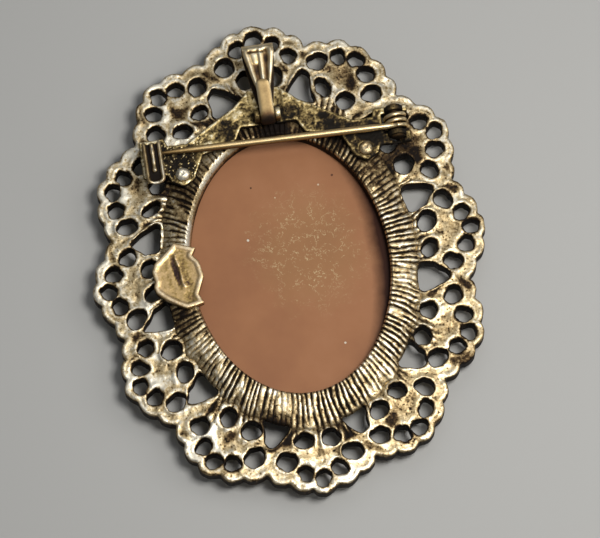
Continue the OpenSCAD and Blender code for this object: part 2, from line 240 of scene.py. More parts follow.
def fitted(piece, material, node, body):
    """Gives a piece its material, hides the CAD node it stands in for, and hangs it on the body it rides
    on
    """
    piece.data.materials.clear()
    piece.data.materials.append(material)
    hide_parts(node)
    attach(piece, body)
    return piece


def oval_reach(half, x, y):
    """How far out from the opening's middle a place lies, as a share of an oval's half sizes"""
    return math.hypot(x / half[0], (y + opening_drop) / half[1])


# Dark patches, partly antique patina and partly painted shade under the coil, pin, catch and bail: across,
# along, reach and strength, places in millimetres
PATINA_AND_SHADE = [
    (17.4, 12.6, 3.2, 0.6), (14.2, 14.9, 2.8, 0.6), (8.8, 15.9, 2.8, 0.5), (0.9, 18.4, 3.2, 0.75),
    (-5.0, 17.8, 2.4, 0.5), (-12.9, 14.9, 3.0, 0.7), (-14.8, 17.2, 2.4, 0.5), (-12.6, 10.0, 3.0, 0.4),
    (-5.7, -24.4, 2.4, 0.7), (-15.6, -6.4, 2.2, 0.5), (13.4, 25.4, 2.6, 0.35), (4.6, -25.6, 2.2, 0.3),
    (-7.5, 27.7, 1.6, 0.5), (21.6, -18.4, 1.6, 0.5), (10.5, -25.0, 4.5, 0.12), (12.8, 10.6, 3.6, 0.42)
]


def patina_and_shade(x, y):
    """How much darker a place is painted: partly patina, partly painted shade under the coil, pin, catch
    and bail
    """
    ragged = 1 + 0.4 * grain(x, y, 1.4 * MM, 19)
    return max(
        strength * bump_at(0, reach * MM, math.hypot(x - across * MM, y - along * MM) * ragged)
        for across, along, reach, strength in PATINA_AND_SHADE
    )


def on_oval(half, turn):
    """The place on an oval at a turn"""
    return half[0] * math.cos(turn), half[1] * math.sin(turn)


flute_count = 152
columns = 1800
mid_half = [(a + b) / 2 for a, b in zip(opening_half, collar_half)]
ring = [on_oval(mid_half, 2 * math.pi * i / columns) for i in range(columns + 1)]
# Length along the ring up to each of its columns
reached = [0.0]
for a, b in zip(ring, ring[1:]):
    reached.append(reached[-1] + math.dist(a, b))
# Unevenness of the flutes, in rows of strength, size across and size along in millimetres, and seed
FLUTE_DRIFT = [(0.5, 2, 1.7, 51), (0.14, 6, 0.8, 57)]
FLUTE_JOINS = [(1, 1.6, 1.5, 61)]
FLUTE_WIDTH = [(0.1, 4, 0.9, 63)]
FLUTE_ROUGH = [(0.16, 5, 0.6, 67)]


def streaks(along, share, rows):
    """Layered noise on the ring, drawn out across it"""
    return sum(
        strength * grain(along, share * across * MM, size * MM, seed)
        for strength, across, size, seed in rows
    )


def flute(along, share):
    """Height of the flutes, from 0 in a groove to 1 on a ridge"""
    place = flute_count * along / reached[-1] + streaks(along, share, FLUTE_DRIFT)
    aside = abs(place - round(place))
    depth = 0.68 + 0.32 * math.sin(12.9 * round(place))
    depth *= 1 - 0.9 * ease(0.12, 0.45, streaks(along, share, FLUTE_JOINS))
    groove = bump_at(0, 0.18 + streaks(along, share, FLUTE_WIDTH), aside)
    return 1 - depth * groove + streaks(along, share, FLUTE_ROUGH)


casting = merged_copy("frame")
rim_edges = cut_above(casting, lobe_back_z - 0.01 * MM)
rim_loops = [
    loop for loop in loops_of(rim_edges)
    if any(oval_reach(collar_half, *point.xy) > 1 for point in loop)
]
outline = max(rim_loops, key=len)
holes = []
gap_middle = {}
for loop in rim_loops:
    middle = sum(loop, Vector()) / len(loop)
    radii = [(point - middle).length for point in loop]
    if max(radii) < min(hole_r_most, min(radii) + 0.1 * MM):
        holes.append((middle, sum(radii) / len(radii)))
    elif loop is not outline:
        gap_middle[id(loop)] = middle
edges_near, edge_owner = edge_finder(rim_loops)
hole_near = search_tree([Vector((*middle.xy, 0)) for middle, _ in holes])
# The most that a hole is trimmed larger, and half the metal kept between two holes, in millimetres
trim_most, half_web = 0.2, 0.2
hole_room = []
for middle, radius in holes:
    next_hole = hole_near.find_n((*middle.xy, 0), 2)[1][2]
    hole_room.append(min(trim_most, (next_hole / 2 - radius) / MM - half_web))
# Bends in a hole's edge: how many round it, size in millimetres, turn from one hole to the next
HOLE_BENDS = [(2, 0.08, 4.08), (3, 0.05, 2.4), (5, 0.04, 6.96)]


def hole_shift(x, y):
    """How a hole's hand-trimmed edge strays from a true circle"""
    middle, i, away = hole_near.find((x, y, 0))
    if away > hole_reach or away < 0.2 * MM:
        return 0.0, 0.0
    angle = math.atan2(y - middle.y, x - middle.x)
    stray = hole_room[i] * (0.6 + 0.5 * math.sin(5.1 * i)) + 0.1 * grain(x, y, 0.45 * MM, 13)
    for bends, size, turn in HOLE_BENDS:
        stray += size * math.cos(bends * angle + turn * i)
    shift = stray * MM * (1 - ease(holes[i][1], hole_reach, away))
    return shift * math.cos(angle), shift * math.sin(angle)


def gap_shift(x, y, loop, away):
    """How far a gap between two lobes is opened towards the holes beside it"""
    middle = gap_middle.get(id(loop))
    if middle is None or away > gap_reach:
        return 0.0, 0.0
    _, i, to_hole = hole_near.find((x, y, 0))
    web = away + max(0.0, to_hole - holes[i][1])
    push = max(0.0, min(gap_opened, 0.55 * (web - web_kept))) * (1 - ease(0, 0.6 * web, away))
    way = Vector((x - middle.x, y - middle.y)).normalized()
    return push * way.x, push * way.y


# How far each lobe strays from an even pattern, turning left from +X: across, along, in millimetres
LOBE_STRAYS = [
    (0.3, 0.8), (0.0, 0.7), (-0.5, 0.4), (-0.2, 0.0), (-0.4, -1.1), (-0.2, -1.4), (0.1, -1.2),
    (-0.3, -0.7), (-0.4, -0.2), (0.0, 0.7), (0.0, 0.5), (0.1, 0.2)
]


def lobe_shift(turn, out):
    """How far the lobes at an angle are moved, less towards the collar"""
    place = len(LOBE_STRAYS) * turn / (2 * math.pi)
    low = math.floor(place)
    before, after = (LOBE_STRAYS[k % len(LOBE_STRAYS)] for k in (low, low + 1))
    share = ease(0.15, 0.85, place - low)
    strength = MM * ease(0.97, 1.24, out)
    return [strength * (a + share * (b - a)) for a, b in zip(before, after)]


# Unevenness of the casting, in rows of strength and lump size in millimetres, and seed
CAST_LUMPS = [(0.1, 1.3, 3), (0.05, 0.45, 5)]
CAST_ACROSS = [(0.13, 1.3, 17), (0.3, 5, 23)]
CAST_ALONG = [(0.13, 1.3, 31), (0.3, 5, 37)]
# How many times the collar's width goes into its half size
widths_in_half = collar_half[0] / (collar_half[0] - opening_half[0])


def lobe_top_wear_and_light(x, y, lip, pad, pitted):
    """How bright a lobe's top is worn and painted lit: its lips most, its pads less and in patches, its
    pits least
    """
    shine = 0.74 + 0.14 * lip - 0.1 * pad * (1 + grain(x, y, 1.6 * MM, 41)) - 0.3 * pitted
    # Painted shade: the lobes at the right are painted darker where the lamps light them most
    shine -= 0.09 * ease(4 * MM, 16 * MM, x) * (1 - ease(4 * MM, 14 * MM, y))
    shine -= 0.4 * ease(0.1, 0.42, grain(x, y, 2.3 * MM, 43)) * (1 - 0.6 * lip)
    # Pale patches of wear, painted up to twice as bright towards the left as a painted highlight
    pale = ease(0.05, 0.4, grain(x, y, 3.1 * MM, 47))
    return shine + 0.16 * pale * (1 + ease(-2 * MM, 14 * MM, -x))


pierced_lobes, bm = fine_skin(casting, "pierced_lobes", skin_voxel, 3)
limit = cad_box[1] - Vector((box_gap, box_gap, 0))
lobe_wear_and_light = []
for vert in bm.verts:
    x, y, z = vert.co
    out = oval_reach(collar_half, x, y)
    free = ease(0.94, 1.05, out)
    turn = math.atan2((y + opening_drop) / collar_half[1], x / collar_half[0])
    along = reached[round(columns * turn / (2 * math.pi)) % columns]
    _, index, away = edges_near.find((x, y, 0))
    loop = edge_owner[index]
    on_back = z > (lobe_back_z + lobe_front_z) / 2
    flat = ease(0.45, 0.85, abs(vert.normal.z))
    lip = bump_at(lip_at, lip_w, away)
    pad = ease(lip_at, 3.5 * lip_at, away)
    pit = pad * ease(0.42, 0.7, grain(x, y, 0.55 * MM, 9))
    rise = lip_h * lip - pad_sink * pad + MM * layered(x, y, CAST_LUMPS) - pit_depth * pit
    run_out = 1.1 + 0.13 * grain(along, 0, 2.6 * MM, 69)
    fluted = on_back * flat * (1 - ease(run_out - 0.06, run_out + 0.08, out))
    ridge = flute(along, 1 + (out - 1) * widths_in_half) if fluted > 0 else 1
    # The bezel's front stays plain
    if z < lobe_front_z - 0.1 * MM:
        rise = 0
    outwards = flat * free * rise * (1 if on_back else -1)
    vert.co.z += outwards + run_out_h * fluted * free * (ridge - 0.65)
    vert.co.z -= lobe_fall * ease(1.0, 1.45, out) * free + 0.4 * MM * (1 - free) * flat * on_back
    vert.co.z = max(vert.co.z, table_gap)
    hole_x, hole_y = hole_shift(x, y)
    gap_x, gap_y = gap_shift(x, y, loop, away)
    lobe_x, lobe_y = lobe_shift(turn, out)
    moved_x = x + lobe_x + free * (MM * layered(x, y, CAST_ACROSS) + hole_x + gap_x)
    moved_y = y + lobe_y + free * (MM * layered(x, y, CAST_ALONG) + hole_y + gap_y)
    vert.co.x = max(-limit.x, min(limit.x, moved_x))
    vert.co.y = max(-limit.y, min(limit.y, moved_y))
    top_wear_and_light = lobe_top_wear_and_light(x, y, lip, pad, pit > 0.2)
    top_wear_and_light -= 0.6 * fluted * (1 - ease(0.42, 0.88, ridge))
    if loop is outline:
        # Painted shade: the outer wall is painted darker towards its foot
        wall_wear_and_shade = 0.45 - 0.42 * ease(0.1 * MM, 0.6 * MM, lobe_back_z - z)
    else:
        ragged = (0.08 + 0.14 * grain(x, y, 0.5 * MM, 29)) * MM
        top_wear_and_light -= 0.5 * (1 - ease(ragged, ragged + 0.12 * MM, away))
        depth = max(0, min(lobe_back_z - z, abs(z - lobe_front_z)))
        wall_wear_and_shade = 0.04 + 0.4 * math.exp(-depth / (0.16 * MM))
    lobe_wear_and_light.append(flat * top_wear_and_light + (1 - flat) * wall_wear_and_shade - patina_and_shade(x, y))
sculpted(pierced_lobes, bm, lobe_wear_and_light)
thin = pierced_lobes.modifiers.new("thin", "DECIMATE")
thin.ratio = most_triangles / sum(len(face.vertices) - 2 for face in pierced_lobes.data.polygons)
applied(pierced_lobes)


def feed(tree, node, inputs):
    """Gives a node's inputs plain values, colours, or the outputs of other nodes"""
    for name, value in inputs.items():
        socket = node.inputs[name]
        if isinstance(value, bpy.types.NodeSocket):
            tree.links.new(value, socket)
        else:
            socket.default_value = (*value, 1) if socket.type == "RGBA" else value


def colour_ramp(tree, value, stops):
    """Turns a value into a colour or a strength through named stops"""
    ramp = tree.nodes.new("ShaderNodeValToRGB")
    band = ramp.color_ramp
    while len(band.elements) < len(stops):
        band.elements.new(0.5)
    for element, (place, colour) in zip(band.elements, stops):
        element.position = place
        element.color = (*colour, 1) if isinstance(colour, tuple) else (colour, colour, colour, 1)
    tree.links.new(value, ramp.inputs["Fac"])
    return ramp.outputs["Color"]


def speckle(tree, size, detail=3, rough=0.6):
    """Noise whose grains are about the given size"""
    place = tree.nodes.new("ShaderNodeTexCoord").outputs["Object"]
    cloud = tree.nodes.new("ShaderNodeTexNoise")
    feed(tree, cloud, {"Vector": place, "Scale": 1 / size, "Detail": detail, "Roughness": rough})
    return cloud.outputs["Fac"]


def reckon(tree, sort, a, b):
    """A sum or product of two values"""
    step = tree.nodes.new("ShaderNodeMath")
    step.operation = sort
    feed(tree, step, {0: a, 1: b})
    return step.outputs["Value"]


def new_finish(name):
    """A new material with its nodes and its shader"""
    material = bpy.data.materials.new(name)
    material.use_nodes = True
    return material, material.node_tree, material.node_tree.nodes["Principled BSDF"]


def antique_gold(name, colours, patina, pitting, grain_depth, rough=(0.7, 0.48, 0.43)):
    """Antique gold: black in hollows and where shade is painted, an olive skin, pale where worn and where
    highlights are painted, in colours from dark to bright
    """
    material, tree, shader = new_finish(name)
    wear_and_light_node = tree.nodes.new("ShaderNodeAttribute")
    wear_and_light_node.attribute_name = "wear_and_light"
    level = wear_and_light_node.outputs["Fac"]
    coarse, fine = speckle(tree, 1.3 * MM), speckle(tree, 0.3 * MM, 4, 0.65)
    for cloud, strength in ((coarse, patina), (fine, 1.2 * patina)):
        uneven = reckon(tree, "MULTIPLY", reckon(tree, "SUBTRACT", cloud, 0.5), strength)
        level = reckon(tree, "ADD", level, uneven)
    specks = colour_ramp(tree, speckle(tree, 0.36 * MM, 2, 0.5), [(0.6, 0.0), (0.68, pitting)])
    level = reckon(tree, "SUBTRACT", level, specks)
    stops = list(zip((0.1, 0.3, 0.5, 0.7, 0.92), colours))
    dull = colour_ramp(tree, level, [(0.15, rough[0]), (0.5, rough[1]), (0.85, rough[2])])
    metal = colour_ramp(tree, level, [(0.08, 0.35), (0.35, 0.95)])
    bump = tree.nodes.new("ShaderNodeBump")
    pits = speckle(tree, 0.22 * MM, 4, 0.65)
    feed(tree, bump, {"Strength": 0.7, "Distance": grain_depth, "Height": pits})
    feed(tree, shader, {
        "Base Color": colour_ramp(tree, level, stops), "Roughness": dull, "Metallic": metal,
        "Specular IOR Level": 0.2, "Normal": bump.outputs["Normal"],
    })
    return material


casting_colours = [
    (0.01, 0.006, 0.004), (0.08, 0.048, 0.022), (0.33, 0.24, 0.12), (0.59, 0.47, 0.275),
    (0.83, 0.77, 0.63)
]
casting_gold = antique_gold("casting_gold", casting_colours, 0.62, 0.32, 0.035 * MM)
fitted(pierced_lobes, casting_gold, "frame", "brooch")

# Fluted collar
# The raised ring round the opening, cast with the lobes. Uneven flutes run out over it with black
# left between them, some joined in broader lands, and a bead painted with a highlight edges the
# opening's upper left; round the rest of the opening its edge is painted darker lower down as shade.
flute_h = 0.34 * MM
bead_at = 0.085
seam_gap = 0.0005 * MM
# Rows of the ring: share of the way from the opening to the collar's edge, height in millimetres,
# share of fluting
COLLAR_ROWS = [
    (-0.005, 3.3, 0), (-0.008, 3.8, 0), (0.0, 4.35, 0), (0.025, 4.64, 0.05), (0.055, 4.86, 0.05),
    (bead_at, 4.98, 0.15), (0.115, 4.92, 0.5), (0.145, 4.8, 0.9), (0.19, 4.72, 1), (0.25, 4.7, 1),
    (0.32, 4.67, 1), (0.39, 4.63, 1), (0.46, 4.58, 1), (0.53, 4.53, 1), (0.6, 4.47, 1), (0.67, 4.41, 1),
    (0.74, 4.35, 1), (0.81, 4.28, 1), (0.87, 4.22, 0.95), (0.93, 4.15, 0.95), (0.98, 4.09, 0.9),
    (1.03, 4.03, 0.85), (1.07, 3.93, 0.7), (1.09, 3.75, 0.2)
]
FLUTE_SHINE = [(0.26, 4, 1.3, 79), (0.3, 4, 0.45, 81)]


def outward(bm):
    """Turns all faces outwards"""
    bmesh.ops.recalc_face_normals(bm, faces=bm.faces)


bm = bmesh.new()
bmesh.ops.create_grid(bm, x_segments=columns, y_segments=len(COLLAR_ROWS) - 1, size=0.5)
wear_and_light_layer = bm.verts.layers.float.new("wear_and_light")
for vert in bm.verts:
    column = round((vert.co.x + 0.5) * columns) % columns
    share, z, fluting = COLLAR_ROWS[round((vert.co.y + 0.5) * (len(COLLAR_ROWS) - 1))]
    turn = 2 * math.pi * column / columns
    along = reached[column]
    beaded = ease(0.5, 0.82, -math.cos(turn + 0.52))
    if 0.01 < share < 0.18:
        fluting = max(fluting, 0.95 * (1 - beaded))
        z -= 0.2 * (1 - beaded) * bump_at(bead_at, 0.06, share)
    lean = 0.08 * beaded * ease(0.0, 0.08, share) * (1 - min(1.0, share))
    inner, outer = (Vector((*on_oval(half, turn), 0)) for half in (opening_half, collar_half))
    spot = inner.lerp(outer, 1.06)
    away = edges_near.find((spot.x, spot.y - opening_drop, 0))[2]
    cut_back = 0.14 * (1 - ease(0.15 * MM, 0.7 * MM, away))
    edge = (0.05 * grain(along, 0, 2.2 * MM, 71) - cut_back) * ease(0.6, 0.95, share)
    ridge = flute(along, share)
    vert.co = inner.lerp(outer, share + edge + lean)
    z *= MM
    vert.co.z = z + flute_h * fluting * ridge + 0.03 * MM * grain(along, z, 0.8 * MM, 73)
    shine = 0.74 * ease(0.42, 0.88, ridge) + streaks(along, share, FLUTE_SHINE)
    shine += 0.6 * (0.62 - shine) * ease(0.9, 1.04, share)
    # Painted highlight on the bead at the opening's upper left; elsewhere the opening's edge is painted
    # darker lower down, as painted shade
    if share < 0.1:
        bead_highlight = 0.25 + 0.72 * ease(4.1 * MM, 4.6 * MM, vert.co.z) + 0.15 * grain(along, share, 2 * MM, 83)
        shine = bead_highlight * beaded + (1 - beaded) * shine * ease(4.2 * MM, 4.8 * MM, vert.co.z)
    vert.co.y -= opening_drop
    vert[wear_and_light_layer] = max(0.0, min(1.0, shine - patina_and_shade(vert.co.x, vert.co.y)))
bmesh.ops.remove_doubles(bm, verts=bm.verts, dist=seam_gap)
outward(bm)
fitted(piece_from(bm, "fluted_collar"), casting_gold, "frame", "brooch")

# Plaque
# A raised cartouche cast at the side of the collar, reaching over the opening: a bare stained field
# inside a bright border, with a long dark scuff across it that raised a burr.
plaque_at = Vector((-15.5, -0.9, 0)) * MM
plaque_size = 1.06
plaque_voxel = 0.1 * MM
plaque_top = 5.62 * MM
plaque_foot = 4.5 * MM
# The cartouche's outline in millimetres from its middle: across, along
PLAQUE = [
    (0.0, 4.55), (2.75, 3.5), (2.2, 2.55), (2.95, 1.6), (3.3, -0.45), (2.3, -2.8), (2.85, -4.1),
    (1.75, -4.35), (0.5, -4.55), (-0.5, -4.0), (-2.0, -3.0), (-3.1, -1.9), (-3.3, -1.1), (-3.05, -0.4),
    (-3.28, 1.0), (-2.8, 2.1), (-1.0, 3.55)
]
scuff_from = Vector((-0.6, 3.0, 0)) * MM
scuff_to = Vector((0.2, -1.8, 0)) * MM
border_at = 0.35 * MM
border_w = 0.3 * MM
# How much the parts of its top stand proud or lie sunk, in millimetres
border_rise, field_sink, scuff_sink, burr_rise, stain_sink = 0.05, 0.06, 0.12, 0.1, 0.03


def drawn_out(bm, faces, way=(0, 0, 0)):
    """Extrudes faces and gives the new points, moved by a vector"""
    drawn = bmesh.ops.extrude_face_region(bm, geom=faces)["geom"]
    verts = [item for item in drawn if isinstance(item, bmesh.types.BMVert)]
    bmesh.ops.translate(bm, verts=verts, vec=way)
    return verts


def slab(outline, thickness):
    """A flat slab: an outline of points, made a face and drawn out by a vector"""
    bm = bmesh.new()
    drawn_out(bm, [bm.faces.new([bm.verts.new(point) for point in outline])], thickness)
    outward(bm)
    return bm


plaque_points = [
    plaque_at + Vector((x * plaque_size * MM, y * plaque_size * MM, plaque_foot)) for x, y in PLAQUE
]
plaque_near = edge_finder([plaque_points])[0]
blank = slab(plaque_points, Vector((0, 0, plaque_top - plaque_foot)))
plaque, bm = fine_skin(blank, "plaque", plaque_voxel, 3)
STAIN_LUMPS = [(0.7, 0.3, 89), (0.6, 1.2, 91)]
plaque_wear = []
for vert in bm.verts:
    x, y, z = vert.co
    away = plaque_near.find((x, y, 0))[2]
    flat = ease(0.4, 0.85, vert.normal.z)
    border = bump_at(border_at, border_w, away)
    field = ease(0.5 * MM, 0.9 * MM, away)
    place = Vector((x, y, 0)) - plaque_at
    line = scuff_to - scuff_from
    share = max(0.0, min(1.0, (place - scuff_from).dot(line) / line.length_squared))
    aside = place - scuff_from - share * line
    full = math.sin(math.pi * (0.12 + 0.8 * share))
    scuff_w = (0.16 + 0.26 * full + 0.12 * grain(x, y, 0.6 * MM, 83)) * MM
    scuff = full * math.exp(-((aside.length / scuff_w) ** 4)) * (0.95 + 0.5 * grain(x, y, 0.25 * MM, 87))
    burr = bump_at(0.5 * MM, 0.2 * MM, aside.x) * (0 < share < 1)
    burr *= 0.6 + 0.8 * grain(x, y, 0.5 * MM, 85)
    stain = bump_at(1.1 * MM, 0.75 * MM, aside.x) + 0.5 * bump_at(-1.1 * MM, 0.5 * MM, aside.x)
    stain = max(0.0, stain * field * (0.5 + layered(x, y, STAIN_LUMPS)))
    rise = border_rise * border - field_sink * field - scuff_sink * scuff + burr_rise * burr
    vert.co.z += flat * MM * (rise - stain_sink * stain) + 0.02 * MM * grain(x, y, 0.7 * MM, 97)
    top_wear_and_light = 0.64 + 0.16 * border + 0.36 * burr - 0.58 * scuff - 0.34 * stain
    wall_wear_and_shade = 0.62 - 0.55 * ease(0.3 * MM, 1.0 * MM, plaque_top - z)
    plaque_wear.append(flat * top_wear_and_light + (1 - flat) * wall_wear_and_shade)
sculpted(plaque, bm, plaque_wear)
plaque_colours = [
    (0.035, 0.018, 0.016), (0.12, 0.07, 0.04), (0.34, 0.235, 0.085), (0.6, 0.42, 0.215),
    (0.87, 0.77, 0.57)
]
plaque_gold = antique_gold("plaque_gold", plaque_colours, 0.25, 0.1, 0.02 * MM, (0.6, 0.46, 0.38))
fitted(plaque, plaque_gold, "frame", "brooch")

# Studs
# Two posts cast on the collar. They pass through notches in the pin plate and are hammered over it
# in small uneven bright heads.
stud_at = (12.8 * MM, 13.4 * MM)
stud_r = 0.8 * MM
stud_head_r = 0.98 * MM
stud_foot = 4.5 * MM
stud_neck = 6.05 * MM
stud_top = 6.62 * MM


def turned(profile, centre, axis, steps):
    """A solid turned from a profile of (radius, height) about an axis through centre"""
    bm = bmesh.new()
    axis = Vector(axis)
    across = axis.orthogonal().normalized()
    verts = [bm.verts.new(centre + across * r + axis * h) for r, h in profile]
    edges = [bm.edges.new(pair) for pair in zip(verts, verts[1:])]
    bmesh.ops.spin(
        bm, geom=verts + edges, cent=centre, axis=axis, angle=2 * math.pi, steps=steps, use_merge=True
    )
    bmesh.ops.remove_doubles(bm, verts=bm.verts, dist=seam_gap)
    outward(bm)
    return bm


# The left stud's head is painted brighter than the right's, a painted highlight
for side, name, head_wear_and_highlight in ((-1, "left_stud", 0.88), (1, "right_stud", 0.55)):
    centre = Vector((side * stud_at[0], stud_at[1], 0))
    profile = [
        (0, stud_foot), (stud_r, stud_foot), (stud_r, stud_neck), (stud_head_r * 0.95, stud_neck),
        (stud_head_r, stud_neck + 0.12 * MM), (stud_head_r * 0.93, stud_neck + 0.32 * MM),
        (stud_head_r * 0.72, stud_top - 0.08 * MM), (stud_head_r * 0.4, stud_top),
        (0, stud_top - 0.06 * MM)
    ]
    bm = turned(profile, centre, (0, 0, 1), 28)
    bmesh.ops.subdivide_edges(bm, edges=bm.edges, cuts=1, use_grid_fill=True, smooth=0.5)
    stud_wear_and_highlight = []
    for vert in bm.verts:
        x, y, z = vert.co
        if z > stud_neck - 0.05 * MM:
            dent = 0.16 * grain(x, y, 0.7 * MM, 101 + z / MM)
            vert.co += dent * Vector((x - centre.x, y - centre.y, 0))
            vert.co.z += 0.08 * MM * grain(x, y, 0.5 * MM, 103) * (z > stud_neck + 0.2 * MM)
        stud_wear_and_highlight.append(0.1 + head_wear_and_highlight * ease(stud_neck - 0.2 * MM, stud_neck + 0.3 * MM, z))
    stud = piece_from(bm, name)
    store_wear_and_light(stud, stud_wear_and_highlight)
    fitted(stud, casting_gold, "frame", "brooch")

# Cameo
# A tan-pink moulded resin oval set from the front. Its back shows in the opening: satin, with a few
# dark and pale specks, old glue flaking yellow right of its middle, and a painted shadow along its
# right edge.
cameo_low, cameo_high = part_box("cameo_ground")
cameo_gap = 0.04 * MM
cameo_sink = 0.02 * MM
cameo_rounding = 0.12 * MM
cameo_half = (cameo_high.x - cameo_gap, cameo_high.y + opening_drop - cameo_gap)


def softened(bm, offset):
    """Rounds a solid's sharp edges over"""
    sharp = [edge for edge in bm.edges if edge.calc_face_angle(0) > math.radians(30)]
    bmesh.ops.bevel(bm, geom=sharp, offset=offset, segments=3, affect="EDGES", profile=0.5, material=-1)


bm = bmesh.new()
bmesh.ops.create_circle(bm, cap_ends=True, radius=1, segments=128)
bmesh.ops.scale(bm, verts=bm.verts, vec=(*cameo_half, 1))
bmesh.ops.translate(bm, verts=bm.verts, vec=(0, -opening_drop, cameo_low.z))
drawn_out(bm, bm.faces[:], (0, 0, cameo_high.z - cameo_low.z - cameo_sink))
outward(bm)
softened(bm, cameo_rounding)
cameo_ground = piece_from(bm, "cameo_ground_back")
for face in cameo_ground.data.polygons:
    face.use_smooth = abs(face.normal.z) < 0.99


def moulded_resin(name, colours, rough, mottle):
    """Moulded resin with soft mottling"""
    material, tree, shader = new_finish(name)
    cloud = speckle(tree, mottle, 4, 0.55)
    body = colour_ramp(tree, cloud, [(0.3, colours[0]), (0.55, colours[1]), (0.75, colours[2])])
    feed(tree, shader, {"Base Color": body, "Roughness": rough, "Specular IOR Level": 0.12})
    return material, tree, shader, body


def blended(tree, amount, below, above):
    """Lays one colour over another by an amount"""
    mix = tree.nodes.new("ShaderNodeMix")
    mix.data_type = "RGBA"
    feed(tree, mix, {"Factor": amount, "A": below, "B": above})
    return mix.outputs["Result"]


def soft_spot(tree, centre, half, seed_size, raggedness=0.9, edge=(0.45, 1.0)):
    """1 in the middle of an oval spot, 0 outside, with a ragged edge: for stains, specks and the painted
    rim shadow
    """
    place = tree.nodes.new("ShaderNodeTexCoord").outputs["Object"]
    moved = tree.nodes.new("ShaderNodeMapping")
    moved.vector_type = "TEXTURE"
    feed(tree, moved, {"Vector": place, "Location": (*centre, cameo_high.z), "Scale": (*half, 0.01)})
    length = tree.nodes.new("ShaderNodeVectorMath")
    length.operation = "LENGTH"
    feed(tree, length, {0: moved.outputs["Vector"]})
    ragged = reckon(tree, "SUBTRACT", speckle(tree, seed_size, 4, 0.7), 0.5)
    ragged = reckon(tree, "MULTIPLY", ragged, raggedness)
    far = reckon(tree, "MULTIPLY", reckon(tree, "ADD", length.outputs["Value"], ragged), 0.5)
    return colour_ramp(tree, far, [(edge[0] / 2, 1.0), (edge[1] / 2, 0.0)])


resin_colours = [(0.325, 0.144, 0.07), (0.37, 0.168, 0.08), (0.405, 0.19, 0.095)]
ground_resin, tree, shader, body = moulded_resin("tan_resin", resin_colours, 0.42, 9 * MM)
stain = soft_spot(tree, (2.8 * MM, 0.9 * MM), (9.2 * MM, 10 * MM), 3 * MM)
thread = [(0.5, 0.0), (0.515, 1.0), (0.53, 0.0), (0.62, 0.0), (0.68, 1.0)]
flakes = colour_ramp(tree, speckle(tree, 1.3 * MM, 5, 0.6), thread)
sparse = colour_ramp(tree, speckle(tree, 1.1 * MM, 4, 0.7), [(0.46, 0.0), (0.56, 1.0)])
flaking = reckon(tree, "MULTIPLY", reckon(tree, "MULTIPLY", stain, flakes), sparse)
body = blended(tree, reckon(tree, "MULTIPLY", stain, 0.4), body, (0.35, 0.2, 0.085))
body = blended(tree, flaking, body, (0.68, 0.53, 0.3))
# Single specks on the cameo's back: across, along and reach in millimetres, colour
for across, along, reach, colour in (
    (-3.7, 11.0, 0.16, (0.08, 0.04, 0.02)), (7.7, 11.2, 0.2, (0.12, 0.05, 0.03)),
    (5.8, -13.1, 0.18, (0.7, 0.62, 0.5)), (-5.2, 3.5, 0.2, (0.72, 0.66, 0.55)),
    (5.6, 10.1, 0.16, (0.62, 0.5, 0.36)), (-0.6, 9.1, 0.12, (0.6, 0.48, 0.3))
):
    speck = soft_spot(tree, (across * MM, along * MM), (reach * MM, reach * MM), 0.1 * MM, 0.6, (0.7, 1.0))
    body = blended(tree, speck, body, colour)
# Painted shadow: a dark band along the cameo's right edge, where the collar would shade it
shade_at, shade_half = (-3 * MM, -1.1 * MM), (15.4 * MM, 26 * MM)
painted_rim_shadow = soft_spot(tree, shade_at, shade_half, 6 * MM, 0.1, (0.91, 1.03))
body = blended(tree, painted_rim_shadow, (0.035, 0.009, 0.003), body)
feed(tree, shader, {"Base Color": body})
fitted(cameo_ground, ground_resin, "cameo_ground", "brooch")

# Carving
# Cream resin raised on the cameo's hidden front: a generic rose spray with two smaller blooms,
# leaves with sunk veins, and a stalk. It is moulded with its edges running into the ground.
carving_low, carving_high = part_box("cameo_relief")
carving_h = carving_high.z - carving_low.z
spray = 15 * MM
carving_set = 0.3 * MM
# Blooms: across and along as shares of the spray, size as a share, first turn in degrees
BLOOMS = [(0, 0.16, 0.42, 20), (-0.36, -0.4, 0.24, 70), (0.38, 0.7, 0.2, 110)]
# Leaves and the long stalk: across and along of their foot, way in degrees, length, height as shares
LEAVES = [
    (0.2, 0.4, 62, 0.5, 0.4), (-0.2, 0.4, 118, 0.5, 0.4), (0.3, 0.07, 10, 0.46, 0.42),
    (-0.3, 0.07, 170, 0.46, 0.42), (0.16, -0.13, -50, 0.56, 0.44), (-0.16, -0.13, 230, 0.56, 0.44),
    (0, -0.1, -84, 0.86, 0.36), (0.04, 0.45, 96, 0.5, 0.36)
]


def bloom_height(x, y, bloom):
    """Height of a rose: rings of curled petals, each ring higher than the one round it"""
    across, along, share, turn = bloom
    dx, dy = x - across * spray, y - along * spray
    size = share * spray
    r = math.hypot(dx, dy) / size
    if r > 1.02:
        return 0.0
    angle = math.atan2(dy, dx)
    for ring, (reach, top) in enumerate([(0.2, 1.0), (0.42, 0.86), (0.68, 0.68), (1.0, 0.46)]):
        count = 3 if ring == 0 else 5
        lobes = abs(math.cos(count / 2 * (angle - math.radians(turn + 36 * ring))))
        edge = reach * (0.84 + 0.16 * lobes ** 0.6)
        if r < edge:
            inner = 0 if ring == 0 else 0.55 * reach
            curl = ease(inner, edge, r)
            return top - 0.16 * (1 - curl) - 0.1 * bump_at(edge, 0.03, r)
    return 0.0


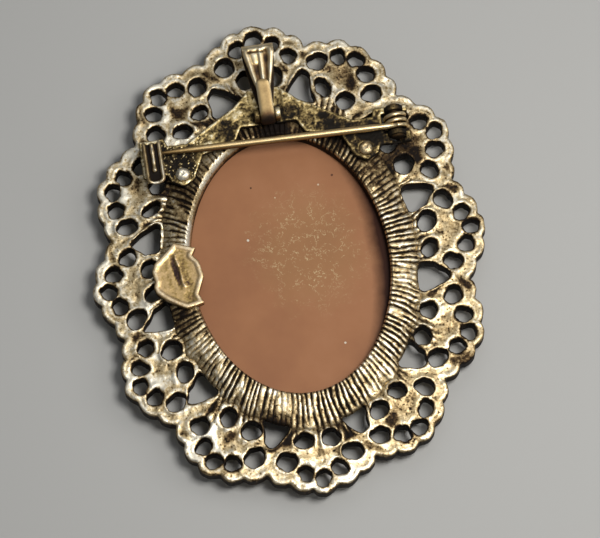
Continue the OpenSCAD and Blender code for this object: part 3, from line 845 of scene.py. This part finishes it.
def leaf_height(x, y, leaf):
    """Height of a leaf: rounded, with a sunk midrib and slanting veins"""
    across, along, way, length, top = leaf
    dx, dy = x - across * spray, y - along * spray
    turn = math.radians(way)
    share = (dx * math.cos(turn) + dy * math.sin(turn)) / (length * spray)
    if not 0 < share < 1:
        return 0.0
    aside = (-dx * math.sin(turn) + dy * math.cos(turn)) / spray
    half = length / 4 * math.sin(math.pi * share ** 0.8) * (1 + 0.06 * math.sin(40 * share))
    if abs(aside) >= half:
        return 0.0
    body = math.sqrt(1 - (aside / half) ** 2)
    veins = 0.1 * max(0.0, math.cos(34 * (share - 0.9 * abs(aside) / length))) ** 4
    return top * (0.35 + 0.65 * body - 0.3 * bump_at(0, 0.012, aside) - veins)


bm = bmesh.new()
bmesh.ops.create_grid(bm, x_segments=170, y_segments=216, size=0.5)
bmesh.ops.scale(
    bm, verts=bm.verts, vec=(carving_high.x - carving_low.x, carving_high.y - carving_low.y, 1)
)
bmesh.ops.translate(bm, verts=bm.verts, vec=(carving_low + carving_high) / 2)
bare_z = carving_high.z + 0.12 * MM
for vert in bm.verts:
    x, y = vert.co.x, vert.co.y + opening_drop
    height = max(bloom_height(x, y, bloom) for bloom in BLOOMS)
    height = max(height, max(leaf_height(x, y, leaf) for leaf in LEAVES))
    vert.co.z = carving_high.z - carving_h * height if height > 0 else bare_z
spare = [face for face in bm.faces if all(v.co.z > carving_high.z for v in face.verts)]
bmesh.ops.delete(bm, geom=spare, context="FACES")
for _ in range(2):
    bmesh.ops.smooth_vert(bm, verts=bm.verts, factor=0.5, use_axis_z=True)
for vert in drawn_out(bm, bm.faces[:]):
    vert.co.z = carving_high.z + carving_set
outward(bm)
rose_spray = piece_from(bm, "rose_spray")
cream_colours = [(0.66, 0.57, 0.42), (0.74, 0.66, 0.5), (0.8, 0.73, 0.58)]
cream_resin = moulded_resin("cream_resin", cream_colours, 0.4, 4 * MM)[0]
fitted(rose_spray, cream_resin, "cameo_relief", "brooch")

# Pin plate
# A gable-shaped plate, roughly cast and antiqued, laid across the flutes and held by the two studs.
# It carries the pin's hinge, the catch and the bail's bar.
plate_top = 6.0 * MM
plate_left = -18.2 * MM
plate_voxel = 0.12 * MM
plate_wander = 0.06 * MM
plate_bm = merged_copy("pin_plate")
bmesh.ops.holes_fill(plate_bm, edges=cut_off(plate_bm, (plate_left, 0, 0), (-1, 0, 0)))
plate_edges = cut_above(plate_bm, plate_top - 0.02 * MM)
plate_near = edge_finder(loops_of(plate_edges))[0]
pin_plate, bm = fine_skin(plate_bm, "rough_plate", plate_voxel, 2)
CRAGS = [(0.55, 0.7, 107), (0.35, 0.3, 109), (0.4, 1.8, 113)]
plate_wear_and_light = []
for vert in bm.verts:
    x, y, z = vert.co
    away = plate_near.find((x, y, 0))[2]
    flat = ease(0.4, 0.85, vert.normal.z)
    rim = bump_at(0.22 * MM, 0.2 * MM, away)
    crag = layered(x, y, CRAGS)
    under_bail = ease(18.5 * MM, 19.5 * MM, y) * (1 - ease(2 * MM, 2.6 * MM, abs(x)))
    rise = 0.15 * crag * (1 - 0.7 * rim) + 0.05 * rim
    rise = min(rise, 0.04 - 0.16 * under_bail)
    vert.co.z += flat * rise * MM
    vert.co.x += plate_wander * grain(x, y, 0.8 * MM, 127)
    vert.co.y += plate_wander * grain(x, y, 0.8 * MM, 131)
    # Darker towards the right, partly patina and partly painted shade under the pin and hinge
    top_wear_and_light = 0.62 - 0.2 * ease(2 * MM, 8 * MM, x) + 0.7 * crag + 0.3 * rim
    # Bright flecks on the plate's left end: painted glints
    glint_flecks = ease(0.3, 0.5, grain(x + y, x - y, 0.34 * MM, 117))
    top_wear_and_light += 0.9 * glint_flecks * ease(9 * MM, 11 * MM, -x)
    wall_wear_and_shade = 0.35 - 0.35 * ease(0.1 * MM, 0.6 * MM, plate_top - z)
    plate_wear_and_light.append(flat * top_wear_and_light + (1 - flat) * wall_wear_and_shade - patina_and_shade(x, y))
sculpted(pin_plate, bm, plate_wear_and_light)
plate_colours = [
    (0.012, 0.009, 0.006), (0.09, 0.062, 0.028), (0.3, 0.22, 0.09), (0.56, 0.43, 0.2), (0.9, 0.8, 0.55)
]
plate_gold = antique_gold("plate_gold", plate_colours, 0.5, 0.35, 0.04 * MM)
fitted(pin_plate, plate_gold, "pin_plate", "brooch")

# Hinge
# Two rounded ears cast on the plate, and the plain brass rivet that is set through them and
# through the pin's coil.
hinge_at = Vector((17.4, 16.6, 6.15)) * MM
ear_near = 1.41 * MM
ear_t = 0.7 * MM
ear_r = 1.3 * MM
ear_foot = 5.3 * MM
ear_soft = 0.12 * MM


def arc(centre, radius, start, end, steps=12):
    """Points on an arc, as pairs, for angles in degrees"""
    turns = [math.radians(start + (end - start) * i / steps) for i in range(steps + 1)]
    return [(centre[0] + radius * math.cos(a), centre[1] + radius * math.sin(a)) for a in turns]


def piece_with_wear_and_light(bm, name, wear_and_light_at, material, node, body):
    """Finishes a small piece whose wear and painted light go by place"""
    wear_and_light = [wear_and_light_at(vert.co) for vert in bm.verts]
    store_wear_and_light(fitted(piece_from(bm, name), material, node, body), wear_and_light)


def tab(name, outline, thickness, softness, wear_and_light_at):
    """A small tab cast on the pin plate, its edges rounded over"""
    bm = slab(outline, thickness)
    softened(bm, softness)
    piece_with_wear_and_light(bm, name, wear_and_light_at, plate_gold, "pin_plate", "brooch")


ear_profile = [(hinge_at.x - ear_r, ear_foot), (hinge_at.x + ear_r, ear_foot)]
ear_profile += arc((hinge_at.x, hinge_at.z), ear_r, 0, 180)
for side, name in ((-1, "lower_ear"), (1, "upper_ear")):
    near = hinge_at.y + side * ear_near
    tab(
        name, [Vector((x, near, z)) for x, z in ear_profile], Vector((0, side * ear_t, 0)), ear_soft,
        lambda place: 0.04 + 0.3 * ease(7.1 * MM, 7.45 * MM, place.z),
    )

rivet_r = 0.79 * MM
rivet_head_r = 1.05 * MM
rivet_half = ear_near + ear_t + 0.05 * MM
rivet_end = rivet_half + 0.28 * MM
rivet_profile = [
    (0, -rivet_end), (0.6 * rivet_head_r, -rivet_end), (rivet_head_r, -rivet_half - 0.1 * MM),
    (rivet_head_r, -rivet_half), (rivet_r, -rivet_half), (rivet_r, rivet_half),
    (rivet_head_r, rivet_half), (rivet_head_r, rivet_half + 0.1 * MM), (0.6 * rivet_head_r, rivet_end),
    (0, rivet_end)
]
brass_colours = [
    (0.015, 0.01, 0.006), (0.1, 0.06, 0.025), (0.36, 0.23, 0.09), (0.6, 0.42, 0.19), (0.85, 0.68, 0.4)
]
pin_brass = antique_gold("pin_brass", brass_colours, 0.16, 0.0, 0.008 * MM, (0.5, 0.38, 0.36))
piece_with_wear_and_light(
    turned(rivet_profile, hinge_at, (0, 1, 0), 24), "rivet",
    lambda place: 0.05 + 0.25 * ease(6.6 * MM, 7.2 * MM, place.z),
    pin_brass, "hinge_rivet", "brooch",
)

# Catch
# A strip cast on the plate: it rises behind the pin and folds over it towards the lower end, its
# edges raised in a bright U, its end rolled under, a broken ridge along its sunk middle.
catch_x = -16.55 * MM
catch_half_w = 1.33 * MM
catch_t = 0.5 * MM
catch_corner = 0.9 * MM
catch_roll = 0.2 * MM
catch_top = 8.52 * MM
catch_path = arc((12.25 * MM, catch_top - 0.45 * MM), 0.45 * MM, 185, 90, 8)
catch_path += arc((17.4 * MM, catch_top - 0.55 * MM), 0.55 * MM, 90, 0, 8)
catch_path += [(17.95 * MM, 5.9 * MM)]


def laid_along(bm, path):
    """Bends a strip drawn flat along +Y so that its top follows a path seen from the side"""
    points = [Vector((0, y, z)) for y, z in path]
    lengths = [0.0]
    for a, b in zip(points, points[1:]):
        lengths.append(lengths[-1] + (b - a).length)
    ways = [(b - a).normalized() for a, b in zip(points, points[1:])]
    joints = [ways[0]] + [(a + b).normalized() for a, b in zip(ways, ways[1:])] + [ways[-1]]
    for vert in bm.verts:
        x, along, lift = vert.co
        i = next((k for k in range(len(ways) - 1) if along < lengths[k + 1]), len(ways) - 1)
        share = (along - lengths[i]) / (lengths[i + 1] - lengths[i])
        way = joints[i].lerp(joints[i + 1], max(0.0, min(1.0, share))).normalized()
        spot = points[i].lerp(points[i + 1], share)
        vert.co = spot + Vector((x, -way.z * lift, way.y * lift))


def path_length(path):
    """Length of a path of pairs"""
    return sum(math.dist(a, b) for a, b in zip(path, path[1:]))


def bent_strip(name, path, grid, thickness, half_width, face, wear_and_light_at):
    """A strip shaped and worn by place along it while it is flat, then bent along its path"""
    bm = bmesh.new()
    bmesh.ops.create_grid(bm, x_segments=grid[0], y_segments=grid[1], size=0.5)
    under = set(drawn_out(bm, bm.faces[:]))
    length = path_length(path)
    for vert in bm.verts:
        along = (vert.co.y + 0.5) * length
        x = 2 * vert.co.x * half_width(along)
        vert.co = Vector((x, along, -thickness if vert in under else face(x, along)))
    outward(bm)
    wear_and_light = [wear_and_light_at(*vert.co) for vert in bm.verts]
    laid_along(bm, path)
    piece = piece_from(bm, name)
    store_wear_and_light(piece, wear_and_light)
    return piece


def catch_half(along):
    """Half the catch's width: round cornered at its rolled end"""
    short = min(catch_corner, max(0.0, catch_roll + catch_corner - along))
    return catch_half_w - catch_corner + math.sqrt(catch_corner ** 2 - short ** 2)


def catch_inside(x, along):
    """How far a place on the catch lies inside its outline"""
    past_x = abs(x) - (catch_half_w - catch_corner)
    past_y = catch_roll + catch_corner - along
    if past_x > 0 and past_y > 0:
        return catch_corner - math.hypot(past_x, past_y)
    return min(catch_half_w - abs(x), along - catch_roll + 0.1 * MM)


def catch_face(x, along):
    """Height of the catch's face: raised rim, sunk floor, broken middle ridge"""
    inside = catch_inside(x, along)
    rim = bump_at(0.28 * MM, 0.27 * MM, inside)
    ridge = bump_at(0.02 * MM, 0.33 * MM, x) * ease(1.7 * MM, 2.3 * MM, along)
    ridge *= 0.8 + 0.5 * grain(0, along, 0.9 * MM, 137)
    floor = ease(0.42 * MM, 0.66 * MM, inside)
    return MM * (0.2 * rim - 0.26 * floor + 0.38 * ridge - 0.14 * (1 - ease(0, 0.2 * MM, inside)))


def catch_wear(x, along, lift):
    """Bright on the raised U and the ridge, black on the floor, duller on its left side"""
    if lift <= -0.9 * catch_t:
        return 0.1 + 0.7 * (along < 0.6 * MM)
    rolled = 1 - ease(0.5 * MM, 0.9 * MM, along)
    shine = 0.05 + 0.85 * max(ease(-0.16 * MM, 0.02 * MM, lift), 0.62 * rolled)
    return shine * (0.85 + 0.3 * grain(x, along, 0.8 * MM, 139) - 0.25 * ease(0.5 * MM, 0.9 * MM, -x))


catch = bent_strip("catch", catch_path, (34, 120), catch_t, catch_half, catch_face, catch_wear)
catch.data.transform(Matrix.Translation((catch_x, 0, 0)))
catch_gold = antique_gold("catch_gold", casting_colours, 0.3, 0.1, 0.015 * MM)
fitted(catch, catch_gold, "pin_plate", "brooch")

# Pin
# Drawn brass wire: a coil of turns round the rivet, and the stouter needle that leaves its lower
# end, lies under the catch and is filed to a long point.
coil_r = 1.3 * MM
coil_wire_r = 0.34 * MM
coil_pitch = 0.8 * MM
coil_turns = 2.5
droop = math.radians(0.5)
slant = math.radians(1.6)
# Stations along the needle from the coil's end: distance and radius in millimetres
NEEDLE = [
    (0, 0.34), (1.2, 0.37), (2.4, 0.43), (3.4, 0.5), (12, 0.5), (24, 0.5), (27, 0.47), (30, 0.39),
    (32.5, 0.27), (33.9, 0.15), (34.3, 0.06)
]
needle_start = hinge_at + Vector((0, -coil_turns / 2 * coil_pitch, coil_r))
needle_way = Vector((-math.cos(droop), math.sin(slant), -math.sin(droop))).normalized()
bm = bmesh.new()
bmesh.ops.create_circle(
    bm, radius=coil_wire_r, segments=16,
    matrix=Matrix.Translation(needle_start) @ Matrix.Rotation(math.pi / 2, 4, "Y"),
)
coil_steps = round(36 * coil_turns)
bmesh.ops.spin(
    bm, geom=bm.verts[:] + bm.edges[:], cent=hinge_at, axis=(0, 1, 0),
    dvec=(0, coil_turns * coil_pitch / coil_steps, 0), angle=2 * math.pi * coil_turns, steps=coil_steps,
)
bmesh.ops.holes_fill(bm, edges=[edge for edge in bm.edges if edge.is_boundary])
needle_end = bmesh.ops.create_circle(
    bm, radius=NEEDLE[0][1] * MM, segments=20,
    matrix=Matrix.Translation(needle_start) @ needle_way.to_track_quat("Z", "Y").to_matrix().to_4x4(),
)["verts"]
edges = list(dict.fromkeys(edge for vert in needle_end for edge in vert.link_edges))
bmesh.ops.contextual_create(bm, geom=edges)
for (_, before), (station, radius) in zip(NEEDLE, NEEDLE[1:]):
    drawn = bmesh.ops.extrude_edge_only(bm, edges=edges)["geom"]
    edges = [item for item in drawn if isinstance(item, bmesh.types.BMEdge)]
    verts = [item for item in drawn if isinstance(item, bmesh.types.BMVert)]
    centre = sum((vert.co for vert in verts), Vector()) / len(verts)
    goal = needle_start + needle_way * station * MM
    bmesh.ops.translate(bm, verts=verts, vec=goal - centre)
    bmesh.ops.scale(bm, verts=verts, vec=(radius / before,) * 3, space=Matrix.Translation(-goal))
bmesh.ops.contextual_create(bm, geom=edges)
outward(bm)


def needle_highlight_and_shade(point):
    """Painted highlight along the needle's top and the coil's outer side, painted shade below and on the
    coil's inner side
    """
    over = point.z - (hinge_at.z + coil_r - 0.1 * MM)
    if point.x > hinge_at.x - 2 * MM:
        crest = math.hypot(point.x - hinge_at.x, point.z - hinge_at.z) - coil_r
        return 0.05 + 0.9 * ease(0.1 * MM, 0.32 * MM, crest)
    return 0.24 + 0.54 * ease(-0.1 * MM, 0.4 * MM, over)


piece_with_wear_and_light(bm, "coil_and_needle", needle_highlight_and_shade, pin_brass, "pin_stem", "pin")

# Bail
# One strip of brighter gold. It loops round the bar and flares up to its top fold, three ridges
# running down between dark grooves, and its rounded tongue is folded over the bar on top.
bar_at = (20 * MM, 7.1 * MM)
fold_at = (28.6 * MM, 7.6 * MM)
loop_r = 1.0 * MM
fold_r = 1.5 * MM
strip_t = 0.42 * MM
tongue_t = 0.42 * MM
tongue_l = 4.8 * MM
flare = math.degrees(math.asin((fold_r - loop_r) / math.dist(bar_at, fold_at)))
slope = math.degrees(math.atan2(fold_at[1] - bar_at[1], fold_at[0] - bar_at[0]))
up_turn = slope + 90 + flare
down_turn = slope - 90 - flare
bail_path = arc(bar_at, loop_r, 180, up_turn, 8) + arc(fold_at, fold_r, up_turn, down_turn, 24)
bail_path += arc(bar_at, loop_r, down_turn, -180, 12)
bail_length = path_length(bail_path)
upper_from = path_length(bail_path[:9])
upper_to = upper_from + math.dist(bail_path[8], bail_path[9])
fold_to = upper_to + math.radians(up_turn - down_turn) * fold_r
low_half_w = 1.0 * MM
high_half_w = 2.2 * MM
BAIL_SHINE = [(0.2, 1.2, 149), (0.1, 0.4, 151)]


def bail_half(along):
    """Half the strip's width: narrow at the bar, flared to the fold, the lower strand wider"""
    if along < upper_to:
        reach, start, power = (along - upper_from) / (upper_to - upper_from), 0.42, 0.9
    else:
        reach, start, power = 1 - (along - fold_to) / (bail_length - fold_to), 0.3, 0.8
    flared = max(0.0, (min(1.0, reach) - start) / (1 - start)) ** power
    return low_half_w + (high_half_w - low_half_w) * flared


def bail_face(x, along):
    """Height of the strip's face: three ridges that run together towards the tongue"""
    across = x / bail_half(along)
    ridges = max(bump_at(-0.76, 0.24, across), bump_at(0.1, 0.22, across), bump_at(0.8, 0.22, across))
    panel = ease(upper_to - 2.0 * MM, upper_to - 1.2 * MM, along) * bump_at(-0.3, 0.36, across)
    fluted = 1 - ease(upper_to + 0.5 * MM, upper_to + 0.9 * MM, along)
    slit = bump_at(upper_to + 0.3 * MM, 0.16 * MM, along) * (abs(across + 0.15) < 0.5)
    return -MM * (0.26 * fluted * (1 - max(ridges, 0.75 * panel)) + 0.2 * slit)


def bail_wear(x, along, lift):
    """Bright on the ridges, dark in the grooves, duller past the fold and dull underneath"""
    if lift <= -0.9 * strip_t:
        return 0.12
    shine = 0.2 + 0.62 * ease(-0.24 * MM, -0.04 * MM, lift) + layered(x, along, BAIL_SHINE)
    return shine * (1 - 0.4 * ease(upper_to + 0.9 * MM, upper_to + 2 * MM, along))


bail_strip = bent_strip(
    "bail_strip", bail_path, (40, 170), strip_t, bail_half, bail_face, bail_wear
)
bail_colours = [
    (0.02, 0.012, 0.008), (0.13, 0.075, 0.035), (0.48, 0.34, 0.16), (0.7, 0.54, 0.3), (0.84, 0.76, 0.57)
]
bail_gold = antique_gold("bail_gold", bail_colours, 0.2, 0.0, 0.01 * MM, (0.55, 0.42, 0.36))
fitted(bail_strip, bail_gold, "bail", "pendant_bail")

tongue_r = loop_r + tongue_t + 0.02 * MM
tongue_path = arc(bar_at, tongue_r, 235, up_turn, 16)
way = math.radians(up_turn - 90)
tongue_path += [(
    tongue_path[-1][0] + tongue_l * math.cos(way), tongue_path[-1][1] + tongue_l * math.sin(way)
)]
tongue_length = path_length(tongue_path)
tongue_half_w = 0.98 * MM


def tongue_half(along):
    """Half the tongue's width, round at its end"""
    left = max(0.0, tongue_half_w - (tongue_length - along))
    return max(0.02 * MM, math.sqrt(max(0.0, tongue_half_w ** 2 - left ** 2)))


def tongue_face(x, along):
    """The tongue's face, crowned and rounded over at its edges"""
    return -0.16 * MM * (abs(x) / tongue_half_w) ** 4 - 0.1 * MM * ease(
        tongue_length - 0.4 * MM, tongue_length, along
    )


def tongue_wear(x, along, lift):
    """Bright along its edges, dark where it turns round the bar, dull underneath"""
    if lift <= -0.9 * tongue_t:
        return 0.2
    shine = 0.46 + 0.1 * grain(x, along, 1.5 * MM, 157) + 0.4 * (abs(x) / tongue_half_w) ** 4
    return shine * (0.15 + 0.85 * ease(2.3 * MM, 4.1 * MM, along))


bail_tongue = bent_strip(
    "bail_tongue", tongue_path, (18, 70), tongue_t, tongue_half, tongue_face, tongue_wear
)
tongue_gold = antique_gold("tongue_gold", bail_colours, 0.12, 0.0, 0.008 * MM, (0.55, 0.5, 0.4))
fitted(bail_tongue, tongue_gold, "bail", "pendant_bail")

# Bail bar
# Two small lugs cast on the plate, the right one painted bright as a highlight, with the bar between
# them that the bail turns on.
lug_from = 1.1 * MM
lug_w = 0.7 * MM
lug_r = 0.85 * MM
lug_foot = 5.8 * MM
lug_soft = 0.14 * MM
bar_r = 0.45 * MM
lug_profile = [(bar_at[0] - lug_r, lug_foot), (bar_at[0] + lug_r, lug_foot)]
lug_profile += arc(bar_at, lug_r, 0, 180)
# The right lug is painted brighter than the left, a painted highlight
for side, name, shine in ((-1, "left_lug", 0.25), (1, "right_lug", 0.75)):
    outline = [Vector((side * lug_from, y, z)) for y, z in lug_profile]
    tab(
        name, outline, Vector((side * lug_w, 0, 0)), lug_soft,
        lambda place: 0.15 + shine * ease(6.4 * MM, 7.9 * MM, place.z),
    )
bar_half = lug_from + 0.1 * MM
bar_profile = [(0, -bar_half), (bar_r, -bar_half), (bar_r, bar_half), (0, bar_half)]
piece_with_wear_and_light(
    turned(bar_profile, Vector((0, *bar_at)), (1, 0, 0), 20), "bail_bar",
    lambda place: 0.3, pin_brass, "pin_plate", "brooch",
)

# Studio
# A plain pale table, a soft lamp overhead, a window at the right, a pale card behind, and a dim room.
# The camera looks down steeply from the brooch's lower end.
table_half = 0.6
bm = bmesh.new()
bmesh.ops.create_grid(bm, x_segments=1, y_segments=1, size=table_half)
table = piece_from(bm, "table")
table_paint, tree, shader = new_finish("table_paint")
feed(tree, shader, {"Base Color": (0.47, 0.47, 0.455), "Roughness": 0.8})
table.data.materials.append(table_paint)

view_up = Vector((0.1513, 0.9885, 0))
view_right = Vector((0.9885, -0.1513, 0))
view_height = 72
view_distance = 0.6
aim = Vector((0, 0, lobe_back_z)) + 1.5 * MM * view_right - 1.8 * MM * view_up


def aimed(name, data, centre, way, height, distance):
    """Puts a camera or lamp out from a centre, a height in degrees up, and turns it to the centre"""
    rise = math.radians(height)
    toward = way.normalized() * math.cos(rise) + Vector((0, 0, math.sin(rise)))
    made = placed(name, data)
    made.location = centre + toward * distance
    made.rotation_euler = toward.to_track_quat("Z", "Y").to_euler()
    return made


camera = aimed("camera", bpy.data.cameras.new("camera"), aim, -view_up, view_height, view_distance)
camera.data.lens = 262
camera.data.clip_start = 0.01
bpy.context.scene.camera = camera


def soft_lamp(name, way, height, distance, size, power, colour):
    """A square soft lamp that faces the brooch"""
    lamp = bpy.data.lights.new(name, "AREA")
    lamp.size = size
    lamp.energy = power
    lamp.color = colour
    aimed(name, lamp, Vector(), way, height, distance)


soft_lamp("ceiling_lamp", view_right - view_up * 0.25, 72, 0.26, 0.08, 0.43, (1, 0.98, 0.95))
soft_lamp("window", view_right + view_up * 0.15, 42, 0.35, 0.2, 0.22, (1, 0.98, 0.96))
soft_lamp("card", view_up - view_right * 0.15, 62, 0.7, 0.4, 0.4, (0.96, 0.98, 1))
room = bpy.data.worlds.new("room")
room.use_nodes = True
dim = room.node_tree.nodes["Background"]
feed(room.node_tree, dim, {"Color": (0.8, 0.82, 0.85), "Strength": 0.16})
bpy.context.scene.world = room
bpy.context.scene.view_settings.view_transform = "Standard"
